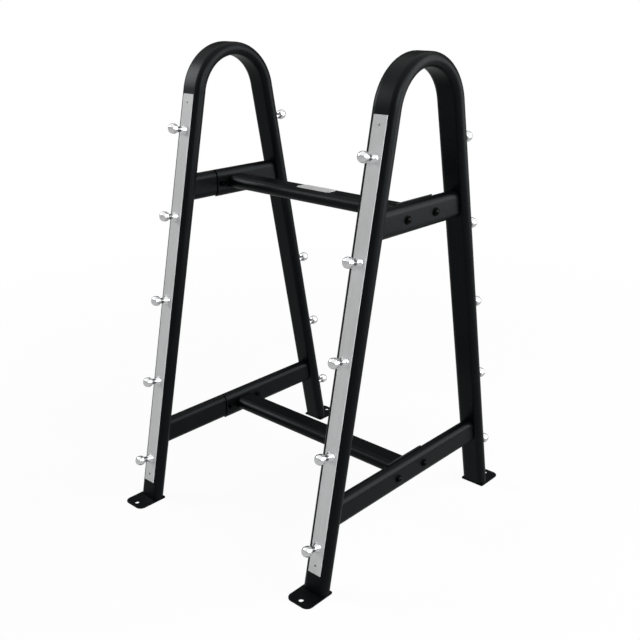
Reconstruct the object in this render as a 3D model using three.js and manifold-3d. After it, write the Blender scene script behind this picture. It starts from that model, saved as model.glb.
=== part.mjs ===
// Barbell storage rack: two hooped side frames of flat-oval tube, joined by two bolted crossbars.
// Millimetres, +Z up. The origin lies on the floor, midway between the four feet. The front is -Y.
import * as THREE from 'three';
import { mergeVertices, toCreasedNormals } from 'three/addons/utils/BufferGeometryUtils.js';
import Module from 'manifold-3d';

const wasm = await Module();
wasm.setup();

// The rack as a whole
const rackHeight = 1397.5;          // floor to the top of the hoops
const frameSpacing = 722.1;         // between the middles of the two side frames
const legLean = 0.2005;             // a leg's angle from upright, in radians
const upperRailHeight = 979.1;      // floor to the middle of the upper rails and crossbar
const lowerRailHeight = 211.6;      // floor to the middle of the lower rails and crossbar

// Flat-oval tube of the side frames, rails and crossbars
const tubeWidth = 80;
const tubeThickness = 38.6;
const tubeWall = 2.5;
const hoopOuterRadius = 159.1;      // outer face of the bend at the top of a side frame

// Foot plates
const footWidth = 82;
const footThickness = 4;
const footToe = 62;                 // plate beyond the outer face of the leg
const footHeel = 1;                 // plate beyond the inner face of the leg
const footToeCorner = 20;
const footHeelCorner = 5.5;
const anchorHoleDiameter = 14;
const anchorHoleInset = 19.5;       // toe's edge to the middle of the hole

// Wear strips on the outer faces of the legs
const stripWidth = 42.2;
const stripThickness = 2.5;
const stripTopInset = 15.6;         // end of the bend to the strip, down the leg
const stripFloorInset = 60.7;       // floor to the strip, up the leg

// Pins that carry the bars
const pinsPerLeg = 5;
const pinTopInset = 105.4;          // upper end of the strip to the first pin
const pinBottomInset = 77.6;        // lower end of the strip to the last pin
const pinReach = 57;                // strip to the end of the knob
const knobDiameter = 29.8;
const knobLength = 28.8;
const knobBand = 4.8;               // straight part of the knob's side, between its rounded edges
const knobFaceDiameter = 5.8;       // flat part of the knob's end
const neckDiameter = 17.2;
const flareDiameter = 29.2;
const flareRim = 3;                 // strip to the end of the flare's straight edge
const flareHeight = 17;             // strip to the end of the flare
const studDiameter = 10;
const studTail = 6;                 // stud inside the leg, beyond its wall

// Saddle brackets, bolts and nuts between the crossbars and the rails
const bracketLength = 160;
const bracketThickness = 3.5;
const bracketWrap = 1.25;           // how far it goes round a rail's edge, in radians
const boltSpacing = 125;
const boltDiameter = 10;
const boltFlangeDiameter = 25;
const boltFlangeThickness = 2;
const boltHeadDiameter = 21;
const boltHeadHeight = 9;
const boltTail = 3;                 // bolt beyond the nut
const nutWidth = 17;                // across the flats
const nutThickness = 8;

// Bare nameplate on the upper crossbar
const nameplateLength = 128;
const nameplateWidth = 42;
const nameplateThickness = 1.2;
const nameplateCorner = 12;

// Clearances
const seatGap = 0.3;                // between pieces that rest on or butt against each other
const holeClearance = 0.5;          // round a stud or bolt in its hole
const cutOverrun = 60;              // a cut's reach past what it cuts

// Facets
const arcSteps = 3;                 // an arc of an outline has twice as many facets
const holeArcSteps = 5;
const bendSteps = 16;
const turnedSides = 12;
const filletSteps = 3;
const nutSides = 6;
const creaseAngle = 0.6;            // faces that meet at less than this shade smoothly, in radians

const ends = { front: -1, rear: 1 };
const sides = { left: -1, right: 1 };
const levels = { upper: upperRailHeight, lower: lowerRailHeight };

const powderCoat = { color: 0x1c1e20, roughness: 0.42, metalness: 0.25 };
const paleStrip = { color: 0xb9bbbc, roughness: 0.45, metalness: 0.5 };
const chromePlate = { color: 0xe9ebed, roughness: 0.07, metalness: 1 };
const blackFastener = { color: 0x0b0c0d, roughness: 0.25, metalness: 0.5 };
const barePlate = { color: 0xb4b7ba, roughness: 0.4, metalness: 0.4 };

// Sizes and places that follow
const tubeEndRadius = tubeThickness / 2;
const tubeHalfFlat = tubeWidth / 2 - tubeEndRadius;
const frameX = frameSpacing / 2;
const bendCentreZ = rackHeight - hoopOuterRadius;
const bendMiddleRadius = hoopOuterRadius - tubeEndRadius;
const bendEndY = hoopOuterRadius * Math.cos(legLean);
const bendEndZ = bendCentreZ + hoopOuterRadius * Math.sin(legLean);
const legLength = bendEndZ / Math.cos(legLean);
const stripEnd = legLength - stripFloorInset;
const firstPin = stripTopInset + pinTopInset;
const pinPitch = (stripEnd - pinBottomInset - firstPin) / (pinsPerLeg - 1);
const stripFace = seatGap + stripThickness;
const studHoleRadius = studDiameter / 2 + holeClearance;
const studDepth = stripFace + tubeWall + studTail;
const boltHoleRadius = boltDiameter / 2 + holeClearance;
const bracketDepth = tubeEndRadius + seatGap + bracketThickness;
const boltLength = tubeEndRadius + bracketDepth + seatGap + nutThickness + boltTail;
const crossbarLength = frameSpacing - 2 * (bracketDepth + seatGap);

// How far a leg's outer face is from the middle of the rack, at a height above the floor
function legOuterY(height) {
  return bendEndY + (bendEndZ - height) * Math.tan(legLean);
}

function legInnerY(height) {
  return legOuterY(height) - tubeThickness / Math.cos(legLean);
}

// Turn about Z that brings a piece's own +X or +Y to the left or front of the rack
function turnTo(sign) {
  return sign < 0 ? Math.PI : 0;
}

function toSolid(geometry) {
  const bare = geometry.clone();
  bare.deleteAttribute('normal');
  bare.deleteAttribute('uv');
  const merged = mergeVertices(bare);
  const vertProperties = new Float32Array(merged.attributes.position.array);
  const triVerts = new Uint32Array(merged.index.array);
  return new wasm.Manifold(new wasm.Mesh({ numProp: 3, vertProperties, triVerts }));
}

function toGeometry(solid) {
  const mesh = solid.getMesh();
  const geometry = new THREE.BufferGeometry();
  geometry.setAttribute('position', new THREE.BufferAttribute(mesh.vertProperties, mesh.numProp));
  geometry.setIndex(new THREE.BufferAttribute(mesh.triVerts, 1));
  return toCreasedNormals(geometry, creaseAngle);
}

function cutAway(geometry, cutters) {
  let solid = toSolid(geometry);
  for (const cutter of cutters) {
    solid = solid.subtract(toSolid(cutter));
  }
  return toGeometry(solid);
}

function addPiece(parent, name, geometry, finish) {
  const piece = new THREE.Mesh(geometry, new THREE.MeshStandardMaterial(finish));
  piece.name = name;
  parent.add(piece);
  return piece;
}

// Flat plate or bar of an outline, from Z = 0 up
function lyingPlate(shape, thickness) {
  return new THREE.ExtrudeGeometry(shape, { depth: thickness, bevelEnabled: false, curveSegments: arcSteps });
}

// Plate or bar of an outline whose X and Y become X and Z, with its thickness centred on Y
function standingPlate(shape, thickness) {
  const geometry = lyingPlate(shape, thickness);
  geometry.translate(0, 0, -thickness / 2);
  geometry.rotateX(Math.PI / 2);
  return geometry;
}

// Oval about the origin with round ends, its long side along X
function addOval(path, width, thickness) {
  const radius = thickness / 2;
  const middle = width / 2 - radius;
  path.absarc(middle, 0, radius, -Math.PI / 2, Math.PI / 2, false);
  path.absarc(-middle, 0, radius, Math.PI / 2, Math.PI * 3 / 2, false);
  path.closePath();
  return path;
}

function tubeSection() {
  const section = addOval(new THREE.Shape(), tubeWidth, tubeThickness);
  section.holes.push(addOval(new THREE.Path(), tubeWidth - 2 * tubeWall, tubeThickness - 2 * tubeWall));
  return section;
}

// Rectangle across X = 0, with one corner radius at its near end and another at its far end
function roundedOutline(width, nearY, farY, nearCorner, farCorner) {
  const edge = width / 2;
  const outline = new THREE.Shape();
  outline.absarc(nearCorner - edge, nearY + nearCorner, nearCorner, Math.PI, Math.PI * 3 / 2, false);
  outline.absarc(edge - nearCorner, nearY + nearCorner, nearCorner, -Math.PI / 2, 0, false);
  outline.absarc(edge - farCorner, farY - farCorner, farCorner, 0, Math.PI / 2, false);
  outline.absarc(farCorner - edge, farY - farCorner, farCorner, Math.PI / 2, Math.PI, false);
  outline.closePath();
  return outline;
}

function addHole(shape, x, y, radius) {
  const points = new THREE.Path().absarc(x, y, radius, 0, Math.PI * 2, true).getPoints(holeArcSteps);
  shape.holes.push(new THREE.Path(points));
}

// Rod along Y about the origin, to cut a round hole with
function holeCutter(radius, length) {
  return new THREE.CylinderGeometry(radius, radius, length, 2 * holeArcSteps);
}

// Middle line of a side frame, in the plane X = 0: up the front leg, round the bend and down the rear
// leg. Its stations are the two feet and equal steps round the bend, and it starts and ends below the
// floor, where the legs are cut off level.
class FrameLine extends THREE.Curve {
  static stations = bendSteps + 2;

  angleAt(station) {
    const step = THREE.MathUtils.clamp(station - 1, 0, bendSteps);
    return THREE.MathUtils.lerp(Math.PI - legLean, legLean, step / bendSteps);
  }

  getTangentAt(u, target = new THREE.Vector3()) {
    const angle = this.angleAt(Math.round(u * FrameLine.stations));
    return target.set(0, Math.sin(angle), -Math.cos(angle));
  }

  getPointAt(u, target = new THREE.Vector3()) {
    const station = Math.round(u * FrameLine.stations);
    const angle = this.angleAt(station);
    target.set(0, Math.cos(angle), Math.sin(angle)).multiplyScalar(bendMiddleRadius);
    target.z += bendCentreZ;
    if (station === 0) {
      target.addScaledVector(this.getTangentAt(u), -(legLength + cutOverrun));
    }
    if (station === FrameLine.stations) {
      target.addScaledVector(this.getTangentAt(u), legLength + cutOverrun);
    }
    return target;
  }
}

// Group that lies on a leg's outer face where the bend ends: +Y points out of the face, +Z up the leg
function legFaceGroup(end) {
  const face = new THREE.Group();
  face.position.set(0, end * bendEndY, bendEndZ);
  face.rotation.set(legLean, 0, turnTo(end), 'ZYX');
  face.updateMatrix();
  return face;
}

function pinDistances() {
  return Array.from({ length: pinsPerLeg }, (_, index) => firstPin + index * pinPitch);
}

// Side frame, open at the foot of each leg, with a hole for each pin's stud in its outer wall
function makeHoopFrame() {
  const frame = new THREE.ExtrudeGeometry(tubeSection(), {
    steps: FrameLine.stations,
    curveSegments: arcSteps,
    extrudePath: new FrameLine(),
  });
  const cutterDepth = 2 * (legOuterY(0) + cutOverrun);
  const floorCutter = new THREE.BoxGeometry(footWidth + cutOverrun, cutterDepth, 2 * cutOverrun);
  floorCutter.translate(0, 0, footThickness + seatGap - cutOverrun);
  const cutters = [floorCutter];
  for (const end of Object.values(ends)) {
    const face = legFaceGroup(end);
    for (const distance of pinDistances()) {
      const cutter = holeCutter(studHoleRadius, tubeThickness);
      cutter.translate(0, 0, -distance);
      cutters.push(cutter.applyMatrix4(face.matrix));
    }
  }
  return cutAway(frame, cutters);
}

// Cutters for the two bolt holes through a rail and its bracket, about the rail's middle
function boltCutters() {
  return Object.values(ends).map((end) => {
    const cutter = holeCutter(boltHoleRadius, tubeThickness + 2 * cutOverrun);
    cutter.rotateZ(Math.PI / 2);
    return cutter.translate(0, end * boltSpacing / 2, 0);
  });
}

// Rail about its middle, on edge, with its ends mitred to the legs' inner faces at its height
function makeRail(height) {
  const rail = standingPlate(tubeSection(), tubeWidth);
  rail.rotateY(Math.PI / 2);
  const corners = rail.attributes.position;
  for (let index = 0; index < corners.count; index += 1) {
    const reach = legInnerY(height + corners.getZ(index)) - seatGap / Math.cos(legLean);
    corners.setY(index, Math.sign(corners.getY(index)) * reach);
  }
  return cutAway(rail, boltCutters());
}

// Saddle that lies on a rail's inner side and goes on round its top and bottom edges, about the rail's
// middle
function makeBracket() {
  const inner = tubeEndRadius + seatGap;
  const outline = new THREE.Shape();
  outline.absarc(0, tubeHalfFlat, bracketDepth, Math.PI - bracketWrap, Math.PI, false);
  outline.absarc(0, -tubeHalfFlat, bracketDepth, Math.PI, Math.PI + bracketWrap, false);
  outline.absarc(0, -tubeHalfFlat, inner, Math.PI + bracketWrap, Math.PI, true);
  outline.absarc(0, tubeHalfFlat, inner, Math.PI, Math.PI - bracketWrap, true);
  outline.closePath();
  return cutAway(standingPlate(outline, bracketLength), boltCutters());
}

function makeFootPlate() {
  const heelY = legInnerY(footThickness) - footHeel;
  const toeY = legOuterY(footThickness) + footToe;
  const outline = roundedOutline(footWidth, heelY, toeY, footHeelCorner, footToeCorner);
  addHole(outline, 0, toeY - anchorHoleInset, anchorHoleDiameter / 2);
  return lyingPlate(outline, footThickness);
}

// Strip in its leg's face group, with a hole for each pin's stud
function makeStrip() {
  const edge = stripWidth / 2;
  const outline = new THREE.Shape();
  outline.moveTo(-edge, -stripEnd);
  outline.lineTo(edge, -stripEnd);
  outline.lineTo(edge, -stripTopInset);
  outline.lineTo(-edge, -stripTopInset);
  outline.closePath();
  for (const distance of pinDistances()) {
    addHole(outline, 0, -distance, studHoleRadius);
  }
  return standingPlate(outline, stripThickness);
}

function turn(profile) {
  const points = profile.map(([radius, along]) => new THREE.Vector2(radius, along));
  return new THREE.LatheGeometry(points, turnedSides);
}

// Pin along +Y from the strip's face: stud, flared base, neck and a drum knob with rounded edges
function makePin() {
  const faceRadius = knobFaceDiameter / 2;
  const roundAcross = knobDiameter / 2 - faceRadius;
  const roundAlong = (knobLength - knobBand) / 2;
  const knobRing = (centre, angle) => [
    faceRadius + roundAcross * Math.sin(angle),
    centre + roundAlong * Math.cos(angle),
  ];
  const profile = [
    [0, -studDepth],
    [studDiameter / 2, -studDepth],
    [studDiameter / 2, seatGap],
    [flareDiameter / 2, seatGap],
    [flareDiameter / 2, flareRim],
    [neckDiameter / 2, flareHeight],
  ];
  const neckAngle = Math.PI - Math.asin((neckDiameter / 2 - faceRadius) / roundAcross);
  for (let step = 0; step <= filletSteps; step += 1) {
    const angle = THREE.MathUtils.lerp(neckAngle, Math.PI / 2, step / filletSteps);
    profile.push(knobRing(pinReach - knobLength + roundAlong, angle));
  }
  for (let step = 0; step <= filletSteps; step += 1) {
    const angle = THREE.MathUtils.lerp(Math.PI / 2, 0, step / filletSteps);
    profile.push(knobRing(pinReach - roundAlong, angle));
  }
  profile.push([0, pinReach]);
  return turn(profile);
}

// Bolt along +Y, its flange on the rail's outer face at Y = 0: shank, flange and domed head
function makeBolt() {
  const flangeTop = seatGap + boltFlangeThickness;
  const profile = [
    [0, -boltLength],
    [boltDiameter / 2, -boltLength],
    [boltDiameter / 2, seatGap],
    [boltFlangeDiameter / 2, seatGap],
    [boltFlangeDiameter / 2, flangeTop],
  ];
  for (let step = 0; step < filletSteps; step += 1) {
    const angle = Math.PI / 2 * step / filletSteps;
    profile.push([boltHeadDiameter / 2 * Math.cos(angle), flangeTop + boltHeadHeight * Math.sin(angle)]);
  }
  profile.push([0, flangeTop + boltHeadHeight]);
  return turn(profile);
}

function makeNut() {
  const corner = nutWidth / 2 / Math.cos(Math.PI / nutSides);
  const outline = new THREE.Shape();
  for (let side = 0; side < nutSides; side += 1) {
    const angle = 2 * Math.PI * side / nutSides;
    const place = [corner * Math.cos(angle), corner * Math.sin(angle)];
    if (side === 0) {
      outline.moveTo(...place);
    } else {
      outline.lineTo(...place);
    }
  }
  outline.closePath();
  addHole(outline, 0, 0, boltHoleRadius);
  return standingPlate(outline, nutThickness);
}

const shapes = {
  hoopFrame: makeHoopFrame(),
  footPlate: makeFootPlate(),
  strip: makeStrip(),
  pin: makePin(),
  bracket: makeBracket(),
  bolt: makeBolt(),
  nut: makeNut(),
};

// Strip and pins of one leg
function addLegFace(frame, end, place) {
  const face = legFaceGroup(end);
  frame.add(face);
  const strip = addPiece(face, `strip_${place}`, shapes.strip, paleStrip);
  strip.position.y = seatGap + stripThickness / 2;
  pinDistances().forEach((distance, index) => {
    const pin = addPiece(face, `pin_${place}_${index + 1}`, shapes.pin, chromePlate);
    pin.position.set(0, stripFace, -distance);
  });
}

// Rail and bracket of one side frame at one level, with the two bolts and nuts that join them
function addRailJoint(frame, side, sideName, level, height) {
  const joint = new THREE.Group();
  joint.position.z = height;
  frame.add(joint);
  addPiece(joint, `rail_${level}_${sideName}`, makeRail(height), powderCoat);
  const bracket = addPiece(joint, `bracket_${level}_${sideName}`, shapes.bracket, powderCoat);
  bracket.rotation.z = turnTo(side);
  for (const [endName, end] of Object.entries(ends)) {
    const place = `${level}_${sideName}_${endName}`;
    const y = end * boltSpacing / 2;
    const bolt = addPiece(joint, `bolt_${place}`, shapes.bolt, blackFastener);
    bolt.position.set(side * tubeEndRadius, y, 0);
    bolt.rotation.z = -side * Math.PI / 2;
    const nut = addPiece(joint, `nut_${place}`, shapes.nut, blackFastener);
    nut.position.set(-side * (bracketDepth + seatGap + nutThickness / 2), y, 0);
    nut.rotation.z = Math.PI / 2;
  }
}

function addSideFrame(rack, sideName, side) {
  const frame = new THREE.Group();
  frame.position.x = side * frameX;
  rack.add(frame);
  addPiece(frame, `hoop_frame_${sideName}`, shapes.hoopFrame, powderCoat);
  for (const [endName, end] of Object.entries(ends)) {
    const place = `${sideName}_${endName}`;
    addLegFace(frame, end, place);
    const foot = addPiece(frame, `foot_plate_${place}`, shapes.footPlate, powderCoat);
    foot.rotation.z = turnTo(end);
  }
  for (const [level, height] of Object.entries(levels)) {
    addRailJoint(frame, side, sideName, level, height);
  }
}

const rack = new THREE.Group();
for (const [sideName, side] of Object.entries(sides)) {
  addSideFrame(rack, sideName, side);
}
for (const [level, height] of Object.entries(levels)) {
  const crossbar = standingPlate(tubeSection(), crossbarLength);
  const piece = addPiece(rack, `crossbar_${level}`, crossbar, powderCoat);
  piece.position.z = height;
  piece.rotation.z = Math.PI / 2;
}

const nameplateOutline = roundedOutline(
  nameplateLength,
  -nameplateWidth / 2,
  nameplateWidth / 2,
  nameplateCorner,
  nameplateCorner,
);
const nameplate = addPiece(rack, 'nameplate', lyingPlate(nameplateOutline, nameplateThickness), barePlate);
nameplate.position.z = upperRailHeight + tubeEndRadius + seatGap;

export default rack;
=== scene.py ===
import bpy
import bmesh
from math import asin, cos, pi, radians, sin, tan, tau
from mathutils import Euler, Matrix, Vector


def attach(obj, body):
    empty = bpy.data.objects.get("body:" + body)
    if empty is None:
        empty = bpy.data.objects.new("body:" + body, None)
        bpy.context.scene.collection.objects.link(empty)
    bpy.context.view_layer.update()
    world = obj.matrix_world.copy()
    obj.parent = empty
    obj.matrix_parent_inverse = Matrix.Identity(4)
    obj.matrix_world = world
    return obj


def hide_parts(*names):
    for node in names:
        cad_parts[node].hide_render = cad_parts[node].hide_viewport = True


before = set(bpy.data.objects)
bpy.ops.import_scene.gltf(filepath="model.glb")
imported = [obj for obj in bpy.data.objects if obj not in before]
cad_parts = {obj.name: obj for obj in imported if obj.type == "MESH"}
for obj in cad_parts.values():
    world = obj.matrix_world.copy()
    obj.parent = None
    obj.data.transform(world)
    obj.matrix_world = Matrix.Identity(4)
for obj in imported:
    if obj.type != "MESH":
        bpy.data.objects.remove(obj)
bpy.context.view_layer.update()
print("frame loaded")

# Lengths are in metres and angles in radians. The front of the rack is -Y, and left is -X.

rack = {
    "height": 1.3975,            # floor to the top of the bends
    "frameSpacing": 0.7221,      # between the middles of the side frames
    "legLean": 0.2005,           # from upright
    "railHeights": {"upper": 0.9791, "lower": 0.2116},
    "seatGap": 0.0003,           # between pieces that touch
    "holeClearance": 0.0005,     # round a stud or a bolt
}

tube = {
    "width": 0.080,
    "thickness": 0.0386,
    "wall": 0.0025,
    "bendRadius": 0.1591,        # to the outer face
    "roundSteps": 20,            # facets of one round side of the section
    "bendSteps": 80,
}

sides = {"left": -1, "right": 1}
ends = {"front": -1, "rear": 1}

# What follows from those sizes
lean = rack["legLean"]
roundRadius = tube["thickness"] / 2
halfFlat = tube["width"] / 2 - roundRadius
frameX = rack["frameSpacing"] / 2
bendCentreZ = rack["height"] - tube["bendRadius"]
bendEndY = tube["bendRadius"] * cos(lean)
bendEndZ = bendCentreZ + tube["bendRadius"] * sin(lean)
legLength = bendEndZ / cos(lean)


def legOuterY(height):
    return bendEndY + (bendEndZ - height) * tan(lean)


def legInnerY(height):
    return legOuterY(height) - tube["thickness"] / cos(lean)


def halfTurn(sign):              # turns a front or left piece round, and leaves its mirror twin
    return Matrix.Rotation(pi if sign < 0 else 0, 4, "Z")


def legFace(side, end):          # +Y out of the leg's outer face, +Z up the leg
    bendEnd = Matrix.Translation((side * frameX, end * bendEndY, bendEndZ))
    return bendEnd @ halfTurn(end) @ Matrix.Rotation(lean, 4, "X")


def frameMiddle(side, height=0):
    return Matrix.Translation((side * frameX, 0, height))


class Wire:                      # a node's output, for shader maths
    def __init__(self, graph, socket):
        self.graph = graph
        self.socket = socket

    def also(self, name):        # another output of the same node
        return Wire(self.graph, self.socket.node.outputs[name])

    def maths(self, operation, *terms):
        return self.graph.add("ShaderNodeMath", {"operation": operation}, dict(enumerate(terms)))

    def __add__(self, other):
        return self.maths("ADD", self, other)

    def __radd__(self, other):
        return self.maths("ADD", other, self)

    def __sub__(self, other):
        return self.maths("SUBTRACT", self, other)

    def __rsub__(self, other):
        return self.maths("SUBTRACT", other, self)

    def __mul__(self, other):
        return self.maths("MULTIPLY", self, other)

    def __rmul__(self, other):
        return self.maths("MULTIPLY", other, self)

    def __abs__(self):
        return self.maths("ABSOLUTE", self)


class Graph:
    def __init__(self, owner):   # a material or the world
        owner.use_nodes = True
        self.tree = owner.node_tree
        self.tree.nodes.clear()

    def add(self, kind, settings=None, sockets=None, output=0):
        node = self.tree.nodes.new(kind)
        for name, value in (settings or {}).items():
            if name == "stops":
                self.setStops(node.color_ramp.elements, value)
            else:
                setattr(node, name, value)
        for name, value in (sockets or {}).items():
            if isinstance(value, Wire):
                self.tree.links.new(value.socket, node.inputs[name])
            else:
                node.inputs[name].default_value = value
        return Wire(self, node.outputs[output]) if node.outputs else None

    def setStops(self, elements, stops):
        while len(elements) < len(stops):
            elements.new(1)
        for element, (place, tone) in zip(elements, stops):
            element.position = place
            element.color = gray(tone)

    def blend(self, factor, first, second):      # of colours, which are the node's sockets 6 and 7
        sockets = {0: factor, 6: first, 7: second}
        return self.add("ShaderNodeMix", {"data_type": "RGBA"}, sockets, 2)

    def measure(self, operation, *vectors):      # a number from vectors
        sockets = dict(enumerate(vectors))
        return self.add("ShaderNodeVectorMath", {"operation": operation}, sockets, "Value")

    def grain(self, place, scale, detail, roughness):
        sizes = {"Vector": place, "Scale": scale, "Detail": detail, "Roughness": roughness}
        return self.add("ShaderNodeTexNoise", {}, sizes)

    def stretched(self, place, stretch):
        return self.add("ShaderNodeMapping", {}, {"Vector": place, "Scale": stretch})

    def ramp(self, factor, stops):
        return self.add("ShaderNodeValToRGB", {"stops": stops}, {0: factor})

    def bump(self, height, strength, distance, under=None):
        sockets = {"Height": height, "Strength": strength, "Distance": distance}
        if under:
            sockets["Normal"] = under
        return self.add("ShaderNodeBump", {}, sockets)

    def rays(self):              # the camera's alone, and with those of gloss and glass
        camera = self.add("ShaderNodeLightPath", output="Is Camera Ray")
        return camera, camera + camera.also("Is Glossy Ray") + camera.also("Is Transmission Ray")


def gray(tone):
    return (tone, tone, tone, 1)


def newFinish(name, shading):
    material = bpy.data.materials.new(name)
    graph = Graph(material)
    place = graph.add("ShaderNodeTexCoord", output="Object")
    surface = graph.add("ShaderNodeBsdfPrincipled", {}, shading(graph, place))
    graph.add("ShaderNodeOutputMaterial", {}, {"Surface": surface})
    return material


# In each finish a grain is its noise's scale, detail and roughness, and a bump is its strength and
# distance. The words toneOf and dullBy say how much a grain adds to the tone or to the roughness.

fullTone = [(0.3, 0), (0.7, 1)]  # spreads the middle of a noise over the whole range

coat = {
    "dark": (0.0010, 0.0012, 0.0014, 1),
    "light": (0.0024, 0.0028, 0.0032, 1),
    "tint": (0.86, 0.96, 1.0, 1),
    "specular": 0.11,
    "cloud": (9, 4, 0.6),
    "pebble": (620, 2, 0.45),    # the orange peel of sprayed powder
    "speck": (2600, 1, 0.5),
    "toneOfCloud": 0.7,
    "toneOfSpeck": 0.3,
    "roughness": 0.30,
    "dullByCloud": 0.06,
    "dullBySpeck": 0.05,
    "pebbleBump": (0.22, 0.0004),
    "speckBump": (0.12, 0.00015),
}


def powderCoat(graph, place):
    cloud = graph.grain(place, *coat["cloud"])
    pebble = graph.grain(place, *coat["pebble"])
    speck = graph.grain(place, *coat["speck"])
    tone = graph.ramp(coat["toneOfCloud"] * cloud + coat["toneOfSpeck"] * speck, fullTone)
    peel = graph.bump(pebble, *coat["pebbleBump"])
    return {
        "Base Color": graph.blend(tone, coat["dark"], coat["light"]),
        "Roughness": coat["roughness"] + coat["dullByCloud"] * cloud + coat["dullBySpeck"] * speck,
        "Normal": graph.bump(speck, *coat["speckBump"], peel),
        "Specular IOR Level": coat["specular"],
        "Specular Tint": coat["tint"],
    }


strip = {
    "width": 0.0422,
    "thickness": 0.0025,
    "topInset": 0.0156,          # end of the bend to the strip
    "floorInset": 0.0607,
    "edge": 0.0007,
    "screwInset": 0.024,
    "dark": (0.62, 0.625, 0.63, 1),
    "light": (0.72, 0.725, 0.73, 1),
    "metallic": 0.06,
    "specular": 0.25,
    "drawnStretch": (1, 1, 0.012),       # fine lines along the strip
    "drawn": (900, 3, 0.6),
    "cloudStretch": (1, 1, 0.3),
    "cloud": (14, 3, 0.5),
    "speck": (1800, 1, 0.5),
    "toneOfDrawn": 0.5,
    "toneOfCloud": 0.3,
    "toneOfSpeck": 0.2,
    "roughness": 0.24,
    "dullByDrawn": 0.05,
    "dullByCloud": 0.03,
    "drawnHeight": 0.7,
    "speckHeight": 0.3,
    "bump": (0.03, 0.0002),
}


def paleStrip(graph, place):
    drawn = graph.grain(graph.stretched(place, strip["drawnStretch"]), *strip["drawn"])
    cloud = graph.grain(graph.stretched(place, strip["cloudStretch"]), *strip["cloud"])
    speck = graph.grain(place, *strip["speck"])
    lines = strip["toneOfDrawn"] * drawn + strip["toneOfCloud"] * cloud
    tone = graph.ramp(lines + strip["toneOfSpeck"] * speck, fullTone)
    height = strip["drawnHeight"] * drawn + strip["speckHeight"] * speck
    dullness = strip["roughness"] + strip["dullByDrawn"] * drawn
    return {
        "Base Color": graph.blend(tone, strip["dark"], strip["light"]),
        "Metallic": strip["metallic"],
        "Roughness": dullness + strip["dullByCloud"] * cloud,
        "Normal": graph.bump(height, *strip["bump"]),
        "Specular IOR Level": strip["specular"],
    }


pin = {
    "studRadius": 0.005,
    "studTail": 0.006,           # stud past the wall of the leg
    "studChamfer": 0.0008,
    "flareRadius": 0.0146,
    "flareEdge": 0.0006,
    "flareRim": 0.003,           # strip to the end of the flare's straight edge
    "flareReach": 0.017,
    "flareCurve": 1.2,           # 1 is a straight cone
    "neckRadius": 0.0086,
    "knobRadius": 0.0149,
    "knobLength": 0.0288,
    "knobFillet": 0.012,
    "reach": 0.057,
    "turns": 64,
    "arcSteps": 14,
    "perLeg": 5,
    "topInset": 0.1054,          # end of the strip to the first pin
    "bottomInset": 0.0776,
    "tint": (0.90, 0.905, 0.915, 1),
    "shade": (0.84, 0.845, 0.855, 1),
    "shadeAndWear": (0.17, 0.17, 0.173, 1),      # painted shade on the neck, where bars rest
    "shadeAndWearReach": 0.05,           # the length that the stops below are shares of
    "shadeAndWearStops": [(0.33, 0), (0.44, 1), (0.59, 1), (0.65, 0)],
    "smear": (60, 4, 0.6),
    "fine": (700, 2, 0.5),
    "roughness": 0.035,
    "dullBySmear": 0.05,
    "dullByFine": 0.02,
    "dullByWear": 0.16,
    "bump": (0.02, 0.0004),
}


def chromePlate(graph, place):
    smear = graph.grain(place, *pin["smear"])
    fine = graph.grain(place, *pin["fine"])
    along = graph.add("ShaderNodeSeparateXYZ", {}, {0: place}, "Y")
    # a band round the neck: its colour is painted shade, its added roughness is wear
    shadeAndWear = graph.ramp(along * (1 / pin["shadeAndWearReach"]), pin["shadeAndWearStops"])
    plated = graph.blend(smear, pin["tint"], pin["shade"])
    dullness = pin["roughness"] + pin["dullBySmear"] * smear + pin["dullByFine"] * fine
    return {
        # the neck band darkens the plated colour as painted shade
        "Base Color": graph.blend(shadeAndWear, plated, pin["shadeAndWear"]),
        "Metallic": 1.0,
        "Roughness": dullness + pin["dullByWear"] * shadeAndWear,
        "Normal": graph.bump(smear, *pin["bump"]),
    }


blackening = {
    "dark": (0.0005, 0.0005, 0.0006, 1),
    "light": (0.0014, 0.0015, 0.0016, 1),
    "specular": 0.06,
    "cloud": (160, 3, 0.6),
    "speck": (1500, 1, 0.5),
    "roughness": 0.08,
    "dullByCloud": 0.05,
    "dullBySpeck": 0.02,
    "bump": (0.05, 0.0001),
}


def blackFastener(graph, place):
    cloud = graph.grain(place, *blackening["cloud"])
    speck = graph.grain(place, *blackening["speck"])
    dullness = blackening["roughness"] + blackening["dullByCloud"] * cloud
    return {
        "Base Color": graph.blend(cloud, blackening["dark"], blackening["light"]),
        "Roughness": dullness + blackening["dullBySpeck"] * speck,
        "Normal": graph.bump(speck, *blackening["bump"]),
        "Specular IOR Level": blackening["specular"],
    }


nameplate = {
    "length": 0.128,
    "width": 0.042,
    "thickness": 0.0012,
    "corner": 0.012,
    "edge": 0.0004,
    "dark": gray(0.90),
    "light": gray(0.97),
    "metallic": 0.05,
    "drawnStretch": (0.03, 1, 1),        # fine lines along the plate
    "drawn": (1400, 3, 0.6),
    "cloud": (40, 3, 0.5),
    "toneOfDrawn": 0.6,
    "toneOfCloud": 0.4,
    "roughness": 0.30,
    "dullByDrawn": 0.14,
    "bump": (0.08, 0.0002),
}


def bareMetal(graph, place):
    drawn = graph.grain(graph.stretched(place, nameplate["drawnStretch"]), *nameplate["drawn"])
    cloud = graph.grain(place, *nameplate["cloud"])
    lines = nameplate["toneOfDrawn"] * drawn + nameplate["toneOfCloud"] * cloud
    tone = graph.ramp(lines, fullTone)
    return {
        "Base Color": graph.blend(tone, nameplate["dark"], nameplate["light"]),
        "Metallic": nameplate["metallic"],
        "Roughness": nameplate["roughness"] + nameplate["dullByDrawn"] * drawn,
        "Normal": graph.bump(drawn, *nameplate["bump"]),
    }


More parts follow.
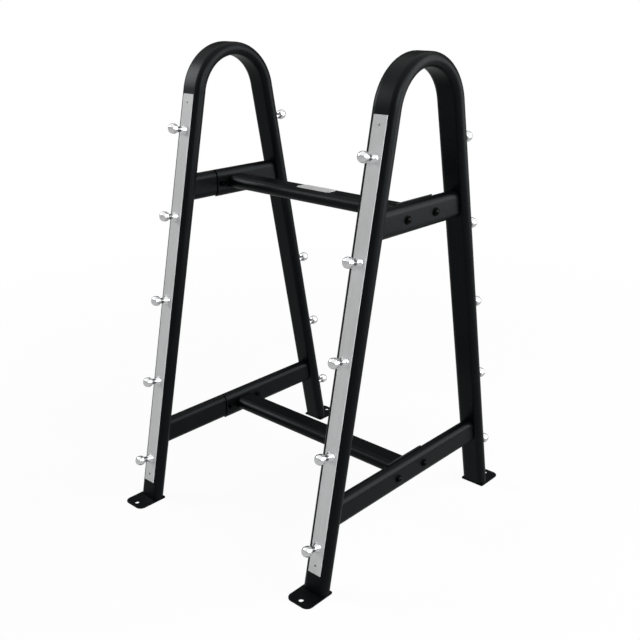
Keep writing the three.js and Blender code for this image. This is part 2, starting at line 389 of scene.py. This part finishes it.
screw = {
    "radius": 0.0034,
    "rise": 0.0012,
    "domeAngles": (0.25, 0.5, 0.75, 1.0, 1.2),
    "socketRadius": 0.0012,
    "socketDepth": 0.0009,
    "socketTaper": 0.8,          # its floor as a share of its mouth
    "turns": 32,
    "dark": gray(0.20),
    "light": gray(0.30),
    "metallic": 0.9,
    "cloud": (300, 2, 0.5),
    "roughness": 0.26,
    "dullByCloud": 0.12,
    "bump": (0.05, 0.0001),
}


def screwMetal(graph, place):
    cloud = graph.grain(place, *screw["cloud"])
    return {
        "Base Color": graph.blend(cloud, screw["dark"], screw["light"]),
        "Metallic": screw["metallic"],
        "Roughness": screw["roughness"] + screw["dullByCloud"] * cloud,
        "Normal": graph.bump(cloud, *screw["bump"]),
    }


finishes = {
    "powder_coat": newFinish("powderCoat", powderCoat),
    "wear_strip": newFinish("paleStrip", paleStrip),
    "chrome": newFinish("chromePlate", chromePlate),
    "black_fastener": newFinish("blackFastener", blackFastener),
    "nameplate": newFinish("bareMetal", bareMetal),
}
screwFinish = newFinish("screwMetal", screwMetal)
print("finishes made")

meshing = {
    "sharpAngle": radians(32),   # creases from here on stay sharp in the shading
    "softAngle": radians(38),    # and edges from here on are rounded
    "softSteps": 3,
    "edgeSteps": 4,              # facets of a rounded rim on a turned piece
    "cornerSteps": 12,           # facets of a plate's corner
    "holeTurns": 32,
    "faceWeight": 100,           # large faces lead the shading of small ones
}


def newObject(name, mesh, place=None):
    mesh.name = name
    piece = bpy.data.objects.new(name, mesh)
    bpy.context.scene.collection.objects.link(piece)
    if place:
        piece.matrix_world = place
    return piece


def ringMesh(rings, looped=False):               # skin over rings with the same number of points
    form = bmesh.new()
    placed = [[form.verts.new(point) for point in ring] for ring in rings]
    pairs = list(zip(placed, placed[1:]))
    if looped:
        pairs.append((placed[-1], placed[0]))
    for near, far in pairs:
        for index in range(len(near)):
            after = (index + 1) % len(near)
            form.faces.new((near[index], near[after], far[after], far[index]))
    if not looped:
        form.faces.new(placed[0])
        form.faces.new(placed[-1])
    bmesh.ops.recalc_face_normals(form, faces=form.faces)
    mesh = bpy.data.meshes.new("form")
    form.to_mesh(mesh)
    form.free()
    return mesh


def ovalOutline(width, thickness):               # the flat-oval section of a tube
    radius = thickness / 2
    middle = width / 2 - radius
    steps = tube["roundSteps"]
    points = []
    for sign, start in ((1, -pi / 2), (-1, pi / 2)):
        for step in range(steps + 1):
            angle = start + pi * step / steps
            points.append((sign * middle + radius * cos(angle), radius * sin(angle)))
    return points


tubeOutline = ovalOutline(tube["width"], tube["thickness"])
boreOutline = ovalOutline(tube["width"] - 2 * tube["wall"], tube["thickness"] - 2 * tube["wall"])


def tubeMesh(ringsAlong):        # out along the outer wall and back along the bore
    return ringMesh(ringsAlong(tubeOutline) + ringsAlong(boreOutline)[::-1], looped=True)


def roundedOutline(width, nearY, farY, nearCorner, farCorner):
    edge = width / 2
    steps = meshing["cornerSteps"]
    corners = [
        (nearCorner - edge, nearY + nearCorner, nearCorner, pi),
        (edge - nearCorner, nearY + nearCorner, nearCorner, 1.5 * pi),
        (edge - farCorner, farY - farCorner, farCorner, 0),
        (farCorner - edge, farY - farCorner, farCorner, 0.5 * pi),
    ]
    points = []
    for x, y, radius, start in corners:
        for step in range(steps + 1):
            angle = start + pi / 2 * step / steps
            points.append((x + radius * cos(angle), y + radius * sin(angle)))
    return points


def plateMesh(outline, low, high):
    return ringMesh([[Vector((x, y, z)) for x, y in outline] for z in (low, high)])


def circle(radius, along, count):                # round the Y axis
    angles = [tau * index / count for index in range(count)]
    return [Vector((radius * cos(angle), along, radius * sin(angle))) for angle in angles]


def turnedMesh(profile, count):
    return ringMesh([circle(radius, along, count) for radius, along in profile])


def arc(centre, radius, start, stop, steps):     # of a profile: radius across, then along
    across, along = centre
    angles = [start + (stop - start) * step / steps for step in range(steps + 1)]
    return [(across + radius * sin(angle), along - radius * cos(angle)) for angle in angles]


def applied(piece):              # its modifiers become its mesh
    graph = bpy.context.evaluated_depsgraph_get()
    shaped = bpy.data.meshes.new_from_object(piece.evaluated_get(graph))
    shaped.name = piece.name
    piece.modifiers.clear()
    piece.data = shaped


# Round holes, each along the Y axis of its place
def drill(piece, places, radius, length, count=meshing["holeTurns"]):
    cutters = []
    for place in places:
        rod = turnedMesh([(radius, -length / 2), (radius, length / 2)], count)
        cutters.append(newObject("drill", rod, piece.matrix_world @ place))
    for cutter in cutters:
        hole = piece.modifiers.new("hole", "BOOLEAN")
        hole.operation = "DIFFERENCE"
        hole.solver = "EXACT"
        hole.object = cutter
    bpy.context.view_layer.update()
    applied(piece)
    for cutter in cutters:
        bpy.data.objects.remove(cutter)


def softenEdges(piece, width):
    edge = piece.modifiers.new("edge", "BEVEL")
    edge.width = width
    edge.segments = meshing["softSteps"]
    edge.limit_method = "ANGLE"
    edge.angle_limit = meshing["softAngle"]
    edge.use_clamp_overlap = True
    applied(piece)


def finishPiece(piece, slotName, node=None, material=None):
    piece.data.materials.clear()
    piece.data.materials.append(material or finishes[slotName])
    piece.data.shade_smooth()
    piece.data.set_sharp_from_angle(angle=meshing["sharpAngle"])
    shade = piece.modifiers.new("shade", "WEIGHTED_NORMAL")
    shade.keep_sharp = True
    shade.weight = meshing["faceWeight"]
    if node:
        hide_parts(node)
    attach(piece, "root")


foot = {
    "width": 0.082,
    "thickness": 0.004,
    "toe": 0.062,                # beyond the leg's outer face
    "heel": 0.001,
    "toeCorner": 0.020,
    "heelCorner": 0.0055,
    "holeRadius": 0.007,
    "holeInset": 0.0195,
    "holeTurns": 48,
    "edge": 0.0006,
}

stripFace = rack["seatGap"] + strip["thickness"]         # out from the leg

# Distances down the leg, from the end of the bend
stripTop = strip["topInset"]
stripEnd = legLength - strip["floorInset"]
firstPin = stripTop + pin["topInset"]
pinPitch = (stripEnd - pin["bottomInset"] - firstPin) / (pin["perLeg"] - 1)
pinDistances = [firstPin + index * pinPitch for index in range(pin["perLeg"])]


def downLeg(distance, out=stripFace):            # a place on the leg's face
    return Matrix.Translation((0, out, -distance))


def bendRing(outline, angle):                    # 0 points to the rear, a right angle up
    middle = tube["bendRadius"] - roundRadius
    points = []
    for across, out in outline:
        reach = middle + out
        points.append(Vector((across, reach * cos(angle), bendCentreZ + reach * sin(angle))))
    return points


def footRing(outline, end):                      # level with the top of the foot plate
    angle = lean if end > 0 else pi - lean
    floor = foot["thickness"] + rack["seatGap"]
    points = []
    for point in bendRing(outline, angle):
        down = (point.z - floor) / cos(lean)
        points.append(point + down * Vector((0, end * sin(lean), -cos(lean))))
    return points


def frameRings(outline):
    steps = tube["bendSteps"]
    turn = pi - 2 * lean
    bend = [bendRing(outline, pi - lean - turn * step / steps) for step in range(steps + 1)]
    return [footRing(outline, -1), *bend, footRing(outline, 1)]


def makeHoopFrame(sideName, side):
    piece = newObject(f"hoopFrame_{sideName}", tubeMesh(frameRings), frameMiddle(side))
    places = []
    for end in ends.values():
        places += [legFace(0, end) @ downLeg(distance, 0) for distance in pinDistances]
    drill(piece, places, pin["studRadius"] + rack["holeClearance"], 4 * tube["wall"])
    finishPiece(piece, "powder_coat", f"hoop_frame_{sideName}")


def makeFootPlate(sideName, side, endName, end):
    heelY = legInnerY(foot["thickness"]) - foot["heel"]
    toeY = legOuterY(foot["thickness"]) + foot["toe"]
    outline = roundedOutline(foot["width"], heelY, toeY, foot["heelCorner"], foot["toeCorner"])
    plate = plateMesh(outline, 0, foot["thickness"])
    piece = newObject(f"footPlate_{sideName}_{endName}", plate, frameMiddle(side) @ halfTurn(end))
    hole = Matrix.Translation((0, toeY - foot["holeInset"], 0)) @ Matrix.Rotation(pi / 2, 4, "X")
    drill(piece, [hole], foot["holeRadius"], 6 * foot["thickness"], foot["holeTurns"])
    softenEdges(piece, foot["edge"])
    finishPiece(piece, "powder_coat", f"foot_plate_{sideName}_{endName}")


def makeStrip(sideName, side, endName, end):
    half = strip["width"] / 2
    low, high = -stripEnd, -stripTop
    corners = [(-half, low), (half, low), (half, high), (-half, high)]
    rings = [[Vector((x, y, z)) for x, z in corners] for y in (rack["seatGap"], stripFace)]
    node = f"strip_{sideName}_{endName}"
    piece = newObject(f"{node}.fine", ringMesh(rings), legFace(side, end))
    places = [downLeg(distance) for distance in pinDistances]
    drill(piece, places, pin["studRadius"] + rack["holeClearance"], 4 * strip["thickness"])
    softenEdges(piece, strip["edge"])
    finishPiece(piece, "wear_strip", node)


def pinProfile():                # from the tail of the stud to the end of the knob
    gap = rack["seatGap"]
    tail = -(stripFace + tube["wall"] + pin["studTail"])
    stud, chamfer = pin["studRadius"], pin["studChamfer"]
    flare, edge = pin["flareRadius"], pin["flareEdge"]
    rim, reach = pin["flareRim"], pin["flareReach"]
    neck, fillet = pin["neckRadius"], pin["knobFillet"]
    knobFlat = pin["knobRadius"] - fillet
    backCentre = pin["reach"] - pin["knobLength"] + fillet
    frontCentre = pin["reach"] - fillet
    steps = pin["arcSteps"]
    neckAngle = asin((neck - knobFlat) / fillet)
    profile = [(stud - chamfer, tail), (stud, tail + chamfer), (stud, gap), (flare - edge, gap)]
    profile += arc((flare - edge, gap + edge), edge, 0, pi / 2, meshing["edgeSteps"])[1:]
    for step in range(steps + 1):
        share = step / steps
        radius = neck + (flare - neck) * (1 - share ** pin["flareCurve"])
        profile.append((radius, rim + (reach - rim) * share))
    profile += arc((knobFlat, backCentre), fillet, neckAngle, pi / 2, steps)
    profile += arc((knobFlat, frontCentre), fillet, pi / 2, pi, steps)
    return profile


def makePin(sideName, side, endName, end, number, distance):
    node = f"pin_{sideName}_{endName}_{number}"
    place = legFace(side, end) @ downLeg(distance)
    piece = newObject(f"{node}.fine", turnedMesh(pinProfile(), pin["turns"]), place)
    finishPiece(piece, "chrome", node)


def makeScrew(sideName, side, endName, end, placeName, distance):
    radius, rise, socket = screw["radius"], screw["rise"], screw["socketRadius"]
    profile = [(radius, 0)]
    profile += [(radius * cos(angle), rise * sin(angle)) for angle in screw["domeAngles"]]
    profile += [(socket, rise), (socket * screw["socketTaper"], rise - screw["socketDepth"])]
    name = f"stripScrew_{sideName}_{endName}_{placeName}"
    place = legFace(side, end) @ downLeg(distance)
    piece = newObject(name, turnedMesh(profile, screw["turns"]), place)
    finishPiece(piece, "wear_strip", material=screwFinish)


for sideName, side in sides.items():
    makeHoopFrame(sideName, side)
    for endName, end in ends.items():
        makeFootPlate(sideName, side, endName, end)
        makeStrip(sideName, side, endName, end)
        for number, distance in enumerate(pinDistances, 1):
            makePin(sideName, side, endName, end, number, distance)
        makeScrew(sideName, side, endName, end, "top", stripTop + strip["screwInset"])
        makeScrew(sideName, side, endName, end, "bottom", stripEnd - strip["screwInset"])
print("side frames made")

bracket = {
    "length": 0.160,
    "thickness": 0.0035,
    "wrap": 1.25,                # round the rail's edge
    "arcSteps": 20,
    "edge": 0.0005,
}

bolt = {
    "spacing": 0.125,
    "radius": 0.005,
    "flangeRadius": 0.0125,
    "flangeThickness": 0.002,
    "flangeEdge": 0.0006,
    "headRadius": 0.0105,
    "headHeight": 0.009,
    "headSteps": 14,
    "tail": 0.003,               # past the nut
    "threadPitch": 0.0015,
    "threadDepth": 0.0006,
    "turns": 48,
}

nut = {
    "width": 0.017,              # across the flats
    "thickness": 0.008,
    "chamfer": 0.0011,
    "faceInset": 0.4,            # of the flats at the face, as a share of the chamfer
    "turns": 48,
}

bracketInner = roundRadius + rack["seatGap"]
bracketDepth = bracketInner + bracket["thickness"]
boltPlaces = [end * bolt["spacing"] / 2 for end in ends.values()]
boltHole = bolt["radius"] + rack["holeClearance"]
acrossRail = Matrix.Rotation(pi / 2, 4, "Z")     # turns a Y axis to lie along X


def makeRail(levelName, height, sideName, side):
    def endRing(outline, end):
        points = []
        for along, across in outline:
            reach = legInnerY(height + along) - rack["seatGap"] / cos(lean)
            points.append(Vector((across, end * reach, along)))
        return points

    node = f"rail_{levelName}_{sideName}"
    rail = tubeMesh(lambda outline: [endRing(outline, -1), endRing(outline, 1)])
    piece = newObject(f"{node}.fine", rail, frameMiddle(side, height))
    holes = [Matrix.Translation((0, y, 0)) @ acrossRail for y in boltPlaces]
    drill(piece, holes, boltHole, 2 * tube["thickness"])
    finishPiece(piece, "powder_coat", node)


def makeBracket(levelName, height, sideName, side):
    half = bracket["length"] / 2
    steps = bracket["arcSteps"]
    turns = [(halfFlat, pi - bracket["wrap"] * (1 - step / steps)) for step in range(steps + 1)]
    turns += [(-halfFlat, pi + bracket["wrap"] * step / steps) for step in range(steps + 1)]
    depths = (bracketInner, bracketInner, bracketDepth, bracketDepth)
    section = list(zip(depths, (-half, half, half, -half)))
    rings = []
    for middle, angle in turns:
        across, up = cos(angle), sin(angle)
        rings.append([Vector((depth * across, y, middle + depth * up)) for depth, y in section])
    node = f"bracket_{levelName}_{sideName}"
    piece = newObject(f"{node}.fine", ringMesh(rings), frameMiddle(side, height) @ halfTurn(side))
    holes = [Matrix.Translation((-bracketDepth, y, 0)) @ acrossRail for y in boltPlaces]
    drill(piece, holes, boltHole, tube["thickness"])
    softenEdges(piece, bracket["edge"])
    finishPiece(piece, "powder_coat", node)


def boltProfile():               # from the tail, up the thread, to the top of the head
    gap, shank = rack["seatGap"], bolt["radius"]
    length = roundRadius + bracketDepth + gap + nut["thickness"] + bolt["tail"]
    pitch, depth = bolt["threadPitch"], bolt["threadDepth"]
    flange, edge = bolt["flangeRadius"], bolt["flangeEdge"]
    edgeSteps, headSteps = meshing["edgeSteps"], bolt["headSteps"]
    top = gap + bolt["flangeThickness"]
    profile = [(shank - 2 * depth, -length), (shank - depth, -length + pitch / 2)]
    ridges = int((bolt["tail"] + nut["thickness"]) / pitch)
    for ridge in range(ridges):
        start = -length + pitch * (0.5 + ridge)
        profile += [(shank, start + pitch / 2), (shank - depth, start + pitch)]
    profile += [(shank, -length + pitch * (ridges + 1)), (shank, gap), (flange - edge, gap)]
    profile += arc((flange - edge, gap + edge), edge, 0, pi / 2, edgeSteps)[1:]
    profile += arc((flange - edge, top - edge), edge, pi / 2, pi, edgeSteps)
    profile.append((bolt["headRadius"], top))
    for step in range(1, headSteps):
        angle = pi / 2 * step / headSteps
        profile.append((bolt["headRadius"] * cos(angle), top + bolt["headHeight"] * sin(angle)))
    return profile


def makeBolt(levelName, height, sideName, side, endName, y):
    node = f"bolt_{levelName}_{sideName}_{endName}"
    place = Matrix.Translation((side * (frameX + roundRadius), y, height))
    place = place @ Matrix.Rotation(-side * pi / 2, 4, "Z")
    piece = newObject(f"{node}.fine", turnedMesh(boltProfile(), bolt["turns"]), place)
    finishPiece(piece, "black_fastener", node)


def makeNut(levelName, height, sideName, side, endName, y):
    flat, thickness, chamfer = nut["width"] / 2, nut["thickness"], nut["chamfer"]
    corner = flat / cos(pi / 6)
    face = flat - chamfer * nut["faceInset"]
    levels = [(face, 0), (corner, chamfer), (corner, thickness - chamfer), (face, thickness)]
    rings = []
    for limit, along in levels:
        ring = []
        for index in range(nut["turns"]):
            angle = tau * index / nut["turns"]
            offset = (angle + pi / 6) % (pi / 3) - pi / 6
            hexagon = corner * cos(pi / 6) / cos(pi / 6 - abs(offset))
            radius = min(limit, hexagon)
            ring.append(Vector((radius * cos(angle), along - thickness / 2, radius * sin(angle))))
        rings.append(ring)
    node = f"nut_{levelName}_{sideName}_{endName}"
    x = side * (frameX - bracketDepth - rack["seatGap"] - thickness / 2)
    place = Matrix.Translation((x, y, height)) @ acrossRail
    piece = newObject(f"{node}.fine", ringMesh(rings), place)
    drill(piece, [Matrix.Identity(4)], boltHole, 2 * thickness)
    finishPiece(piece, "black_fastener", node)


for levelName, height in rack["railHeights"].items():
    for sideName, side in sides.items():
        makeRail(levelName, height, sideName, side)
        makeBracket(levelName, height, sideName, side)
        for endName, y in zip(ends, boltPlaces):
            makeBolt(levelName, height, sideName, side, endName, y)
            makeNut(levelName, height, sideName, side, endName, y)
print("rails, brackets, bolts and nuts made")


def crossbarRings(outline):
    half = frameX - bracketDepth - rack["seatGap"]
    return [[Vector((x, along, up)) for along, up in outline] for x in (-half, half)]


def makeCrossbar(levelName, height):
    node = f"crossbar_{levelName}"
    place = Matrix.Translation((0, 0, height))
    piece = newObject(f"{node}.fine", tubeMesh(crossbarRings), place)
    finishPiece(piece, "powder_coat", node)


def makeNameplate():
    half = nameplate["width"] / 2
    corner = nameplate["corner"]
    outline = roundedOutline(nameplate["length"], -half, half, corner, corner)
    plate = plateMesh(outline, 0, nameplate["thickness"])
    barTop = rack["railHeights"]["upper"] + roundRadius + rack["seatGap"]
    piece = newObject("nameplate.fine", plate, Matrix.Translation((0, 0, barTop)))
    softenEdges(piece, nameplate["edge"])
    finishPiece(piece, "nameplate", "nameplate")


for levelName, height in rack["railHeights"].items():
    makeCrossbar(levelName, height)
makeNameplate()
print("crossbars and nameplate made")

# The studio: a pale floor, a world that gloss sees as a tent, three soft lamps and the camera
white = gray(1.0)

ground = {
    "size": 60,                  # middle to edge
    "depth": 0.02,
    "tone": gray(0.92),
    "gleam": gray(0.50),         # the floor as metal shows it
    "shadowShare": 0.06,         # how much of the floor near the rack is lit and takes the shadow
    "nearEdge": 1.0,             # the share fades out from here
    "farEdge": 3.5,
}


def makeFloor():
    size = ground["size"]
    corners = [(-size, -size), (size, -size), (size, size), (-size, size)]
    floor = newObject("floor", plateMesh(corners, -ground["depth"], 0))
    material = bpy.data.materials.new("floor")
    graph = Graph(material)
    camera, seen = graph.rays()
    pale = graph.add("ShaderNodeBsdfDiffuse", {}, {"Color": ground["tone"]})
    tone = graph.blend(camera, ground["gleam"], white)
    glow = graph.add("ShaderNodeEmission", {}, {"Color": tone, "Strength": 1.0})
    away = graph.measure("LENGTH", graph.add("ShaderNodeTexCoord", output="Object"))
    span = {"From Min": ground["nearEdge"], "From Max": ground["farEdge"]}
    shares = {"To Min": ground["shadowShare"], "To Max": 0.0}
    smooth = {"interpolation_type": "SMOOTHSTEP"}
    shaded = graph.add("ShaderNodeMapRange", smooth, {"Value": away, **span, **shares})
    mixed = graph.add("ShaderNodeMixShader", {}, {0: seen * (1 - shaded), 1: pale, 2: glow})
    graph.add("ShaderNodeOutputMaterial", {}, {"Surface": mixed})
    floor.data.materials.append(material)


# What gloss shows of the studio: pale walls with white above, a darker band between them in
# front, and a dark zone behind the rack. The stops run from straight down to straight up.
tent = {
    "strength": 0.15,            # of the world as light
    "up": (0.1215, -0.0357, 1.0),        # a little off plumb, towards the right and the front
    "toBack": (-0.672, 0.741, 0.0),
    "pitch": 0.51,               # climb of the band towards the front and the back
    "frontStops": [(0.0, 0.45), (0.540, 0.45), (0.543, 0.03), (0.576, 0.03), (0.584, 1.0)],
    "backStops": [(0.0, 0.06), (0.576, 0.06), (0.584, 1.0)],
    "backSpan": [(0.35, 0), (0.55, 1)],
}


def makeWorld():
    world = bpy.data.worlds.new("studio")
    bpy.context.scene.world = world
    graph = Graph(world)
    camera, seen = graph.rays()
    soft = graph.add("ShaderNodeBackground", {}, {"Color": white, "Strength": tent["strength"]})
    toward = graph.add("ShaderNodeTexCoord", output="Generated")
    rise = graph.measure("DOT_PRODUCT", toward, tent["up"])
    back = graph.measure("DOT_PRODUCT", toward, tent["toBack"])
    height = (rise - abs(back) * tent["pitch"]) * 0.5 + 0.5      # from 0 to 1
    front = graph.ramp(height, tent["frontStops"])
    behind = graph.ramp(height, tent["backStops"])
    walls = graph.blend(graph.ramp(back, tent["backSpan"]), front, behind)
    shown = graph.blend(camera, walls, white)
    plain = graph.add("ShaderNodeBackground", {}, {"Color": shown, "Strength": 1.0})
    mixed = graph.add("ShaderNodeMixShader", {}, {0: seen, 1: soft, 2: plain})
    graph.add("ShaderNodeOutputWorld", {}, {"Surface": mixed})


lamps = {
    "right": {"place": (3.6, 2.2, 1.95), "size": 3.9, "power": 185},
    "side": {"place": (4.1, -0.9, 2.5), "size": 2.0, "power": 105},
    "left": {"place": (-3.4, -1.8, 2.9), "size": 1.8, "power": 85},
}
lampTarget = Vector((0, 0, 0.7))


def makeLamp(name, lamp):
    light = bpy.data.lights.new(name, "AREA")
    light.shape = "SQUARE"
    light.size = lamp["size"]
    light.energy = lamp["power"]
    holder = bpy.data.objects.new(name, light)
    holder.location = lamp["place"]
    aim = lampTarget - Vector(lamp["place"])
    holder.rotation_euler = aim.to_track_quat("-Z", "Y").to_euler()
    bpy.context.scene.collection.objects.link(holder)


view = {
    "place": (1.70495, -1.86112, 1.52254),
    "tilt": radians(69.832),
    "turn": radians(42.220),
    "lens": 49.23,               # in millimetres, like the sensor
    "sensor": 36,
    "shift": (-0.0001, -0.0023),
}


def makeCamera():
    optics = bpy.data.cameras.new("camera")
    optics.lens = view["lens"]
    optics.sensor_width = view["sensor"]
    optics.shift_x, optics.shift_y = view["shift"]
    camera = bpy.data.objects.new("camera", optics)
    camera.location = view["place"]
    camera.rotation_euler = Euler((view["tilt"], 0, view["turn"]))
    bpy.context.scene.collection.objects.link(camera)
    bpy.context.scene.camera = camera


makeFloor()
makeWorld()
for name, lamp in lamps.items():
    makeLamp(name, lamp)
makeCamera()
bpy.context.scene.view_settings.view_transform = "Standard"
print("studio made")
